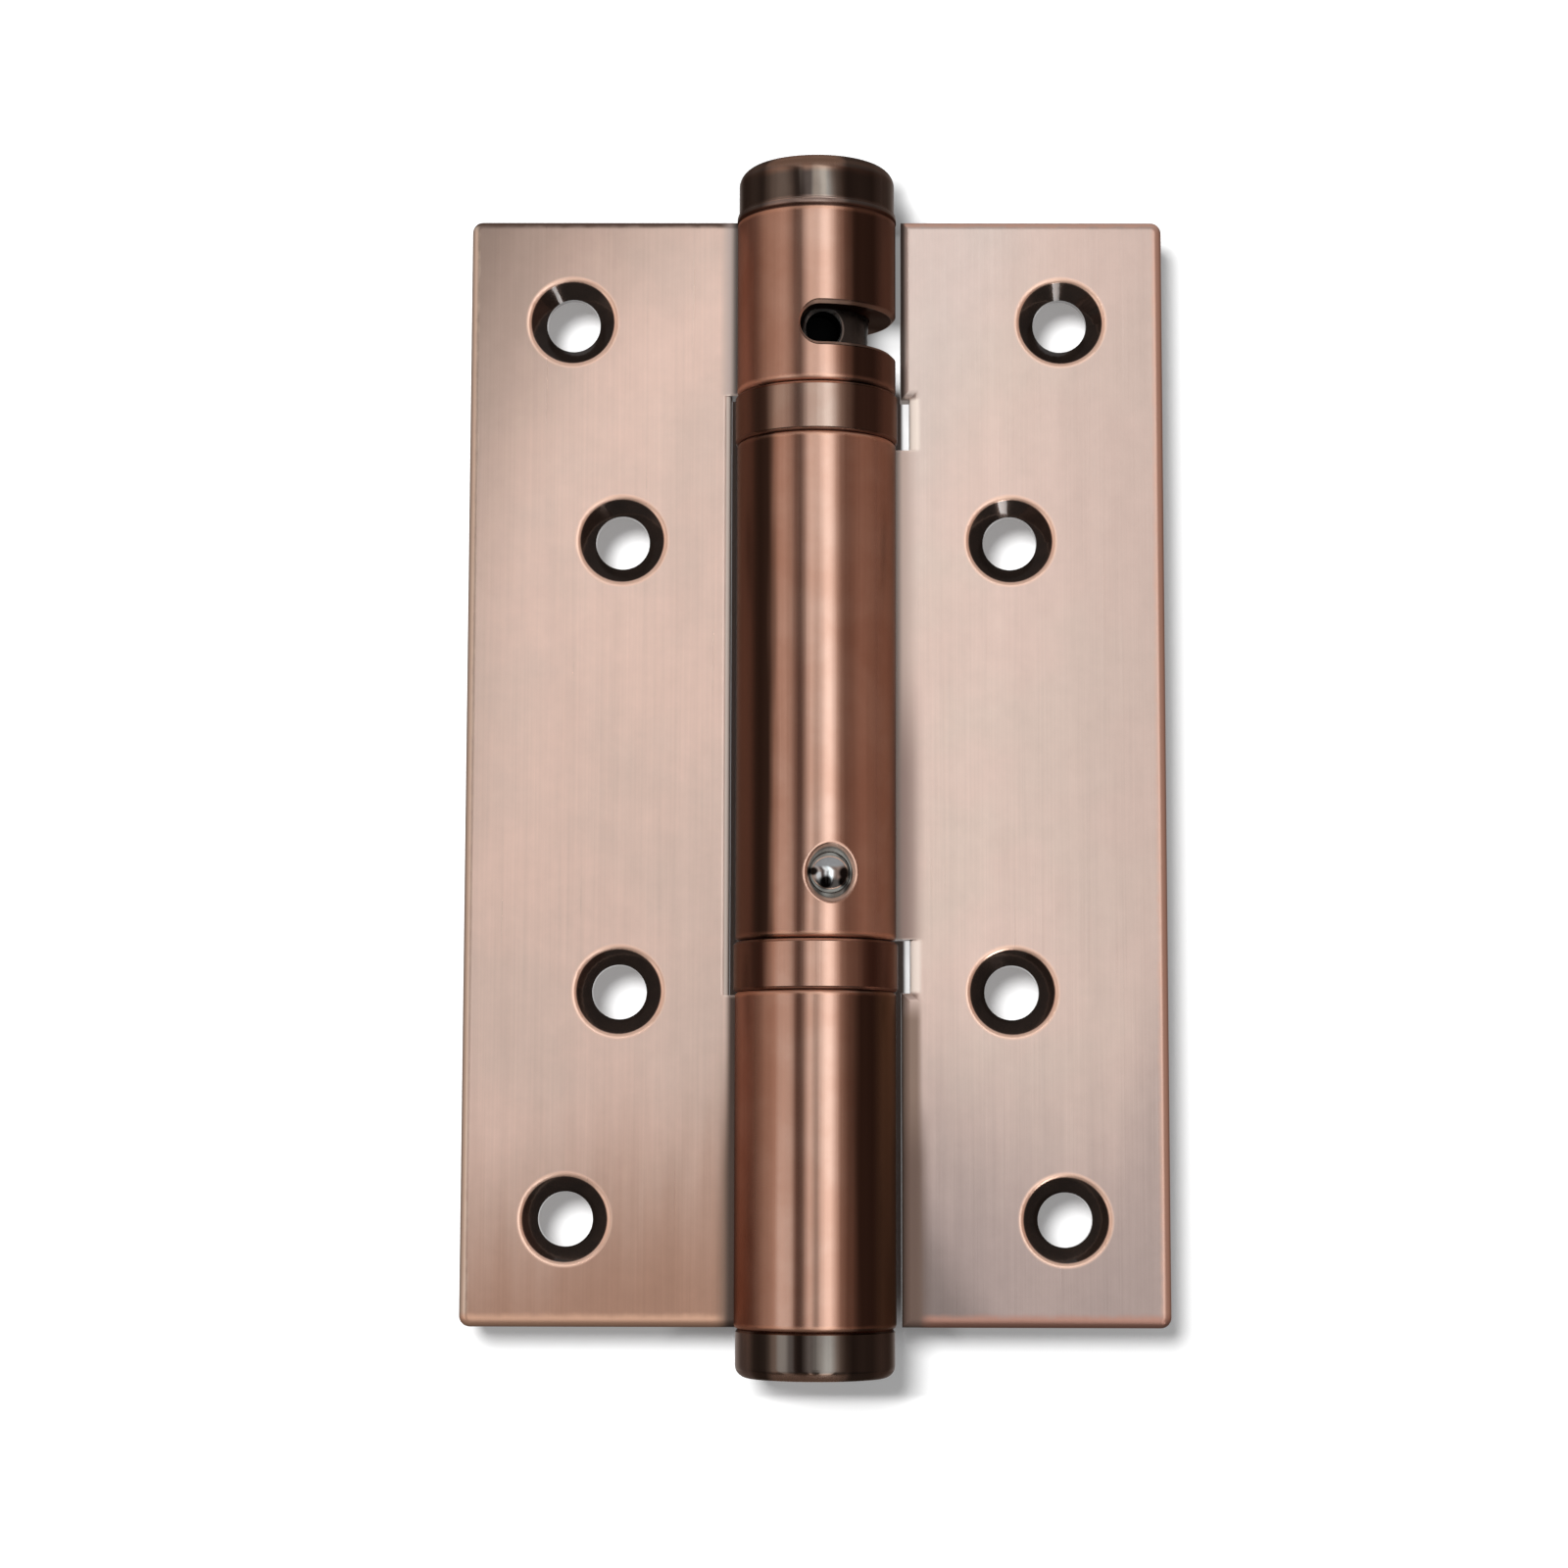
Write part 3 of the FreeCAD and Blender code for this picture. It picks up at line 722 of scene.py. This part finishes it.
for values in (frameLeaf, doorLeaf):
    dress(values["node"], makeLeafFinish(values))
for values in barrelPieces:
    dress(values["node"], makeBarrelFinish(values))
steels = {name: makeSteelFinish(name, values) for name, values in steelKinds.items()}
nylon = makeNylonFinish(nylonCage)
dress("tension_adjuster", steels["adjuster_steel"])
for node in ("lower_core", "guide_rod"):
    dress(node, steels["oiled_steel"])
dress("anchor_pin", steels["pin_steel"])
for bearing in ("upper_bearing", "lower_bearing"):
    for part in ("_base_race", "_top_race"):
        dress(bearing + part, steels["race_steel"])
    dress(bearing + "_balls", steels["bright_steel"])
    dress(bearing + "_cage", nylon)
print("finishes: leaves, barrel, steels and cages")


def addObject(name, data):
    added = bpy.data.objects.new(name, data)
    bpy.context.scene.collection.objects.link(added)
    return added


def addPiece(name, points, faces, sharp, material):
    mesh = bpy.data.meshes.new(name)
    mesh.from_pydata(points, [], faces)
    mesh.shade_smooth()
    mesh.set_sharp_from_angle(angle=math.radians(sharp))
    mesh.materials.append(material)
    return addObject(name, mesh)


# anchor pin: an outline of ball, shoulder and shank carried round the pin's axis

pinBall = {
    "ballRadius": 2.65 * mm,
    "ballCentre": 6.76 * mm,
    "shoulder": 8.10 * mm,
    "shoulderStep": 0.05 * mm,
    "shankRadius": 2.28 * mm,
    "shankEnd": 2.82 * mm,
    "chamfer": 0.25 * mm,
    "ballSteps": 26,
    "aroundSteps": 64,
    "sharp": 22,
}


# point = base plus the outline's height along the axis, plus the outline's radius turned round that axis;
# the outline runs from the tip on the axis to the foot on the axis
def turnOutline(name, outline, base, axes, steps, sharp, material):
    aside, upright, ahead = axes
    around = np.linspace(0, 2 * np.pi, steps, endpoint=False)
    spoke = np.cos(around)[:, None] * aside + np.sin(around)[:, None] * upright
    rings = base + outline[1:-1, None, 1:] * ahead + outline[1:-1, None, :1] * spoke[None]
    count, columns = rings.shape[:2]
    points = np.concatenate([rings.reshape(-1, 3), base + outline[[0, -1], 1:] * ahead])
    index = np.arange(count * columns).reshape(count, columns)
    side = np.roll(index, -1, axis=1)
    quads = np.stack([index[:-1], index[1:], side[1:], side[:-1]], axis=-1).reshape(-1, 4).tolist()
    top = np.stack([np.full(columns, len(points) - 2), index[0], side[0]], axis=-1).tolist()
    bottom = np.stack([np.full(columns, len(points) - 1), side[-1], index[-1]], axis=-1).tolist()
    return addPiece(name, points, quads + top + bottom, sharp, material)


# ball: a circle's arc from the tip to the shoulder, then straight down the shank
def makePinBall(values):
    lowest = math.acos((values["shoulder"] - values["ballCentre"]) / values["ballRadius"])
    polar = np.linspace(0, lowest, values["ballSteps"])
    ball = np.stack([values["ballRadius"] * np.sin(polar),
                     values["ballCentre"] + values["ballRadius"] * np.cos(polar)], axis=-1)
    shank, end, chamfer = values["shankRadius"], values["shankEnd"], values["chamfer"]
    rest = np.array([(shank, values["shoulder"] - values["shoulderStep"]), (shank, end + chamfer),
                     (shank - chamfer, end), (0, end)])
    turn = math.radians(pinPlace["angle"])
    axes = np.array([(math.cos(turn), math.sin(turn), 0), (0, 0, 1), (math.sin(turn), -math.cos(turn), 0)])
    base = np.array([0, 0, pinPlace["height"] * mm])
    return turnOutline("pin_ball", np.concatenate([ball, rest]), base, axes, values["aroundSteps"],
                       values["sharp"], steels["pin_steel"])


pin = makePinBall(pinBall)
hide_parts("anchor_pin")
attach(pin, "door_side")
print("pin:", len(pin.data.polygons), "faces")


# top cap: a round-edged cap whose thin lip hangs over the end of the top tube

lipCap = {
    "top": 68.9 * mm,
    "round": 1.9 * mm,
    "radius": 8.95 * mm,
    "seat": 63.5 * mm,
    "flareStart": 63.62 * mm,
    "lipRadius": 9.17 * mm,
    "lipInner": 9.104 * mm,
    "lipTop": 63.32 * mm,
    "lipBottom": 62.7 * mm,
    "lipRound": 0.05 * mm,
    "lipBevel": 0.03 * mm,
    "roundSteps": 14,
    "aroundSteps": 160,
    "sharp": 30,
}


# outline: flat top, a quarter circle, straight wall, flared lip, and the seat on the tube's end
def makeLipCap(values):
    turn = np.linspace(0, np.pi / 2, values["roundSteps"])
    radius, top, bend = values["radius"], values["top"], values["round"]
    edge = np.stack([radius - bend + bend * np.sin(turn), top - bend + bend * np.cos(turn)], axis=-1)
    lip, inner, small = values["lipRadius"], values["lipInner"], values["lipRound"]
    high, low, seat = values["lipTop"], values["lipBottom"], values["seat"]
    rest = np.array([(radius, values["flareStart"]), (lip - small, high + small), (lip, high - small),
                     (lip, low + small), (lip - values["lipBevel"], low), (inner, low), (inner, seat), (0, seat)])
    outline = np.concatenate([[(0, top)], edge, rest])
    return turnOutline("cap_lip", outline, np.zeros(3), np.eye(3), values["aroundSteps"], values["sharp"],
                       nodes["top_cap"].material_slots[0].material)


cap = makeLipCap(lipCap)
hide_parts("top_cap")
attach(cap, "frame_side")
print("cap:", len(cap.data.polygons), "faces")


# torsion spring: a rounded rectangle of wire carried up a left-handed helix, with an upright tang at each end

springWire = {
    "coilRadius": 4.85 * mm,
    "wireAcross": 1.8 * mm,
    "wireHigh": 2.1 * mm,
    "low": -5.75 * mm,
    "high": 23.4 * mm,
    "turns": 12,
    "startAngle": 180.0,
    "corner": 0.36 * mm,
    "stepsPerTurn": 72,
    "stepsPerCorner": 5,
    "tangReach": 5.2 * mm,
    "tangAcross": 1.8 * mm,
    "tangWide": 2.0 * mm,
    "tangSink": 1.05 * mm,
    "tangSteps": 9,
    "sharp": 40,
}


# outline of a rectangle with round corners: four quarter circles, joined by straight sides
def roundedRectangle(across, high, corner, steps):
    turn = np.linspace(0, np.pi / 2, steps)
    quarter = (np.arange(4) * np.pi / 2)[:, None] + turn[None, :]
    signs = np.array([(1, 1), (-1, 1), (-1, -1), (1, -1)])
    centre = signs * np.array([across / 2 - corner, high / 2 - corner])
    points = centre[:, None, :] + corner * np.stack([np.cos(quarter), np.sin(quarter)], axis=-1)
    return points.reshape(-1, 2)


# faces of a tube of rings, each ring closed, with one flat face over each end
def tubeFaces(rings, columns, first):
    index = first + np.arange(rings * columns).reshape(rings, columns)
    side = np.roll(index, -1, axis=1)
    quads = np.stack([index[:-1], side[:-1], side[1:], index[1:]], axis=-1).reshape(-1, 4).tolist()
    return quads + [index[0, ::-1].tolist(), index[-1].tolist()]


# coil point = axis height plus (coil radius + outline across) turned by the angle, plus outline height;
# tang point = a second outline carried straight up at the coil's end angle
def makeSpring(values):
    count = values["turns"] * values["stepsPerTurn"] + 1
    share = np.linspace(0, 1, count)
    angle = np.radians(values["startAngle"]) - 2 * np.pi * values["turns"] * share
    low, high, reach, sink = (values[name] for name in ("low", "high", "tangReach", "tangSink"))
    rise = low + (high - low) * share
    corner, steps = values["corner"], values["stepsPerCorner"]
    outline = roundedRectangle(values["wireAcross"], values["wireHigh"], corner, steps)
    radius = values["coilRadius"] + outline[None, :, 0]
    coil = np.stack([np.sin(angle)[:, None] * radius, -np.cos(angle)[:, None] * radius,
                     rise[:, None] + outline[None, :, 1]], axis=-1)
    columns = outline.shape[0]
    points = [coil.reshape(-1, 3)]
    faces = tubeFaces(count, columns, 0)
    # the tangs stand behind the coil's two ends
    section = roundedRectangle(values["tangWide"], values["tangAcross"], corner, steps)
    back = -np.cos(np.radians(values["startAngle"])) * values["coilRadius"]
    flat = np.stack([section[:, 0], back + section[:, 1]], axis=-1)
    for foot, head in ((low - reach, low + sink), (high - sink, high + reach)):
        heights = np.linspace(foot, head, values["tangSteps"])
        tang = np.concatenate([np.broadcast_to(flat, (len(heights), columns, 2)),
                               np.broadcast_to(heights[:, None, None], (len(heights), columns, 1))], axis=-1)
        faces += tubeFaces(len(heights), columns, sum(len(part) for part in points))
        points.append(tang.reshape(-1, 3))
    return addPiece("spring_coil", np.concatenate(points), faces, values["sharp"], steels["spring_steel"])


spring = makeSpring(springWire)
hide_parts("torsion_spring")
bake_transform(spring)
print("spring:", len(spring.data.polygons), "faces")


# stage: a white sheet behind the hinge, seen from the front only, with painted shadow and painted light on it

# a painted shadow or a painted light patch is its middle across and upwards, the distances from it where it starts
# and is full in each direction, and its strength
sheetValues = {
    "back": 9.45 * mm,
    "half": 1.2,
    "white": 0.80,
    "glow": 0.24,
    "underAcross": 11.0,
    "underHeight": 60.0,
    "underFade": 7.0,
    "paintedShades": (
        (1.5, 60.0, (10.5, 7.5), (12.2, 8.8), 0.80),
    ),
    "patches": (
        (10.0, 50.3, (5.6, 0.6), (4.6, 0.6), 0.88),
        (9.9, 55.0, (1.4, 0.9), (10.6, 8.6), 0.24),
        (11.7, 28.0, (1.8, 1.3), (33.0, 24.0), 0.85),
        (11.7, -28.0, (1.6, 1.1), (33.0, 24.0), 0.70),
        (3.5, -80.0, (13.0, 9.0), (9.7, 7.0), 0.62),
    ),
    "farStart": 95.0,
    "farEnd": 220.0,
    "farGlow": 1.0,
}


def makeSheet(values):
    half, back = values["half"], values["back"]
    corners = [(-half, back, -half), (half, back, -half), (half, back, half), (-half, back, half)]
    mesh = bpy.data.meshes.new("sheet")
    mesh.from_pydata(corners, [], [(0, 1, 2, 3)])
    sheet = addObject("sheet", mesh)
    material, tree = blankMaterial("white_sheet")
    place = useGroup(tree, placeGroup, Vector=put(tree, "ShaderNodeTexCoord").outputs["Object"])
    aside, upward = (calc(tree, "ABSOLUTE", place[name]) for name in ("Across", "Height"))

    def within(x, z, across, rise):
        sides = ((place["Across"], x, across), (place["Height"], z, rise))
        return times(tree, *(ease(tree, calc(tree, "ABSOLUTE", minus(tree, value, middle)), *limits)
                             for value, middle, limits in sides))

    # a painted shadow beside the top cap
    level = values["white"]
    for *spot, share in values["paintedShades"]:
        level = times(tree, level, minus(tree, 1.0, times(tree, within(*spot), share)))
    white = put(tree, "ShaderNodeCombineColor", {0: level, 1: level, 2: level}).outputs[0]
    paper = put(tree, "ShaderNodeBsdfDiffuse", {"Color": white})
    # the sheet's glow stands in for fill light and fades out under the barrel as a painted shade, and far from the
    # hinge the sheet is plain white
    beside = calc(tree, "MAXIMUM", minus(tree, aside, values["underAcross"]),
                  minus(tree, upward, values["underHeight"]))
    near = times(tree, ease(tree, beside, 0.0, values["underFade"]), values["glow"])
    far = ease(tree, calc(tree, "MAXIMUM", aside, upward), values["farStart"], values["farEnd"])
    fill = plus(tree, near, times(tree, far, values["farGlow"]))
    # painted light: lit places behind the slot, the open side of the top tube, the door leaf's inner edge and below
    # the barrel
    for *spot, light in values["patches"]:
        fill = calc(tree, "MAXIMUM", fill, times(tree, within(*spot), light))
    glow = put(tree, "ShaderNodeEmission", {"Color": colour((1, 1, 1)), "Strength": fill})
    front = put(tree, "ShaderNodeAddShader", {0: paper.outputs[0], 1: glow.outputs[0]})
    clear = put(tree, "ShaderNodeBsdfTransparent")
    backFacing = put(tree, "ShaderNodeNewGeometry").outputs["Backfacing"]
    seen = put(tree, "ShaderNodeMixShader", {0: backFacing, 1: front.outputs[0], 2: clear.outputs[0]})
    put(tree, "ShaderNodeOutputMaterial", {"Surface": seen.outputs[0]})
    mesh.materials.append(material)
    for ray in ("visible_diffuse", "visible_glossy", "visible_transmission", "visible_shadow"):
        setattr(sheet, ray, False)


makeSheet(sheetValues)


# studio: what polished metal sees round the hinge

# a strip is an angle from the front towards the right, and the light there;
# a touch is the middle angle, the angles beside it where it starts and is full, the rises where it starts and is
# full, its share and its tint; the spans of bright are levels, and the others are heights on a ball of radius 1
studio = {
    "gain": 2.0,
    "strips": (
        (-180, (0.80, 0.80, 0.80)), (-152, (0.60, 0.58, 0.57)), (-136, (0.13, 0.10, 0.09)),
        (-110, (0.145, 0.102, 0.085)), (-85, (0.33, 0.25, 0.215)), (-62, (0.55, 0.44, 0.39)),
        (-50, (0.64, 0.53, 0.48)), (-42, (0.62, 0.52, 0.475)), (-36, (0.50, 0.41, 0.37)),
        (-30, (0.27, 0.21, 0.19)), (-25, (0.13, 0.10, 0.092)), (-20, (0.12, 0.095, 0.088)),
        (-15, (0.45, 0.42, 0.41)), (-9, (1.05, 1.06, 1.07)), (-5, (1.12, 1.15, 1.16)),
        (2, (1.08, 1.10, 1.11)), (9, (1.20, 1.27, 1.31)), (15, (1.68, 1.84, 1.93)),
        (21, (1.72, 1.89, 1.98)), (26, (1.23, 1.27, 1.30)), (31, (0.70, 0.63, 0.60)),
        (36, (0.36, 0.29, 0.26)), (46, (0.22, 0.155, 0.13)), (72, (0.36, 0.25, 0.21)),
        (100, (0.26, 0.18, 0.15)), (136, (0.16, 0.12, 0.11)), (152, (0.60, 0.58, 0.57)),
        (180, (0.80, 0.80, 0.80)),
    ),
    "lean": 0.9,
    "leanFrom": 10.5,
    "touches": (
        (0.5, 8.5, 2.0, 13.0, 2.0, 0.56, (0.0, 0.0, 0.0)),
        (-44.0, 16.0, 9.0, 6.0, 1.0, 0.60, (1.07, 1.15, 1.20)),
    ),
    "brightSpan": (0.7, 1.2),
    "above": (0.36, 0.36, 0.37),
    "aboveSpan": (0.32, 0.60),
    "below": (0.10, 0.09, 0.085),
    "belowSpan": (-0.25, -0.60),
    "belowKeep": 0.8,
    "keepEnd": (-0.90, -0.62),
    "soft": 0.12,
}


def makeStudio(values):
    world = bpy.data.worlds.new("studio")
    bpy.context.scene.world = world
    world.use_nodes = True
    tree = world.node_tree
    tree.nodes.clear()
    toward = put(tree, "ShaderNodeTexCoord").outputs["Generated"]
    parts = put(tree, "ShaderNodeSeparateXYZ", {0: toward}).outputs
    angle = calc(tree, "ARCTAN2", parts["X"], times(tree, parts["Y"], -1.0))
    # the strips stand upright, and lean over higher up
    rise = calc(tree, "DEGREES", calc(tree, "ARCSINE", parts["Z"]))
    higher = calc(tree, "MAXIMUM", minus(tree, rise, values["leanFrom"]), 0.0)
    angle = plus(tree, angle, times(tree, higher, math.radians(values["lean"])))
    ramp = put(tree, "ShaderNodeValToRGB", {0: span(tree, angle, -math.pi, math.pi, 0.0, 1.0)})
    stops = ramp.color_ramp.elements
    turns, levels = zip(*values["strips"])
    while len(stops) < len(turns):
        stops.new(0.5)
    for stop, turn in zip(stops, turns):
        stop.position = (turn + 180) / 360
    for stop, level in zip(stops, levels):
        stop.color = colour(tuple(part / values["gain"] for part in level))
    seen = tinge(tree, 1.0, ramp.outputs["Color"], (values["gain"],) * 3, "MULTIPLY")
    # a dark seam in the bright strip and a paler strip at the left, both in the lower part only
    degrees = calc(tree, "DEGREES", angle)
    for middle, outer, inner, start, full, share, tint in values["touches"]:
        off = calc(tree, "ABSOLUTE", minus(tree, degrees, middle))
        touch = times(tree, ease(tree, off, outer, inner), ease(tree, rise, start, full), share)
        seen = tinge(tree, touch, seen, tint)
    # grey above, and dark below except under the bright strip
    bright = ease(tree, put(tree, "ShaderNodeRGBToBW", {0: seen}).outputs[0], *values["brightSpan"])
    bright = times(tree, bright, ease(tree, parts["Z"], *values["keepEnd"]))
    seen = tinge(tree, ease(tree, parts["Z"], *values["aboveSpan"]), seen, values["above"])
    lower = minus(tree, 1.0, times(tree, bright, values["belowKeep"]))
    seen = tinge(tree, times(tree, ease(tree, parts["Z"], *values["belowSpan"]), lower), seen, values["below"])

    def backdrop(light, strength):
        return put(tree, "ShaderNodeBackground", {"Color": light, "Strength": strength}).outputs[0]

    # the sheet gets a soft light of its own, and the camera sees plain white
    path = put(tree, "ShaderNodeLightPath").outputs
    plain = colour((1, 1, 1))
    onSheet = calc(tree, "GREATER_THAN", path["Diffuse Depth"], 0.5)
    lit = put(tree, "ShaderNodeMixShader",
              {0: onSheet, 1: backdrop(seen, 1.0), 2: backdrop(plain, values["soft"])}).outputs[0]
    shown = put(tree, "ShaderNodeMixShader", {0: path["Is Camera Ray"], 1: lit, 2: backdrop(plain, 1.0)})
    put(tree, "ShaderNodeOutputWorld", {"Surface": shown.outputs[0]})


makeStudio(studio)


# lamps: a soft box up and to the left, whose shadow falls on the sheet, and a small one low on the right,
# which only glints in the countersinks

lamps = {
    "key_light": {
        "from": (-0.18, -0.68, 0.15),
        "toward": (0, 0, 0),
        "spread": 180.0,
        "size": 0.26,
        "power": 6.5,
        "hides": "visible_glossy",
    },
    "glint_light": {
        "from": (0.054, -0.027, -0.078),
        "toward": (0, 0, 0.038),
        "spread": 55.0,
        "size": 0.034,
        "power": 0.0024,
        "hides": "visible_diffuse",
        "only": ("frame_leaf", "door_leaf"),
    },
}


def makeLamp(name, values):
    data = bpy.data.lights.new(name, "AREA")
    data.shape = "DISK"
    data.size = values["size"]
    data.energy = values["power"]
    data.spread = math.radians(values["spread"])
    lamp = addObject(name, data)
    lamp.location = values["from"]
    lamp.rotation_mode = "QUATERNION"
    ahead = Vector(values["toward"]) - Vector(values["from"])
    lamp.rotation_quaternion = ahead.to_track_quat("-Z", "Y")
    setattr(lamp, values["hides"], False)
    lamp.visible_camera = False
    if "only" in values:
        lit = bpy.data.collections.new(name + "_lit")
        for node in values["only"]:
            lit.objects.link(nodes[node])
        lamp.light_linking.receiver_collection = lit


for name, values in lamps.items():
    makeLamp(name, values)
print("stage: sheet, studio and lamps")


# camera: the photograph's view, by place, heading, tilt and roll

photoView = {
    "place": (-1.53 * mm, -374.8 * mm, -43.28 * mm),
    "yaw": -0.320,
    "pitch": 6.231,
    "roll": 0.144,
    "lens": 76.16,
    "sensor": 36,
    "nearest": 0.01,
    "farthest": 10,
}


def makeCamera(values):
    yaw, pitch, roll = (math.radians(values[name]) for name in ("yaw", "pitch", "roll"))
    ahead = Vector((math.sin(yaw) * math.cos(pitch), math.cos(yaw) * math.cos(pitch), math.sin(pitch)))
    level = Vector((math.cos(yaw), -math.sin(yaw), 0))
    upright = level.cross(ahead)
    right = math.cos(roll) * level + math.sin(roll) * upright
    top = math.cos(roll) * upright - math.sin(roll) * level
    data = bpy.data.cameras.new("camera")
    data.sensor_width = values["sensor"]
    data.lens = values["lens"]
    data.clip_start = values["nearest"]
    data.clip_end = values["farthest"]
    camera = addObject("camera", data)
    turn = Matrix((right, top, -ahead)).transposed().to_4x4()
    camera.matrix_world = Matrix.Translation(values["place"]) @ turn
    bpy.context.scene.camera = camera


makeCamera(photoView)
bpy.context.scene.view_settings.view_transform = "Standard"
print("camera: at the photograph's view")
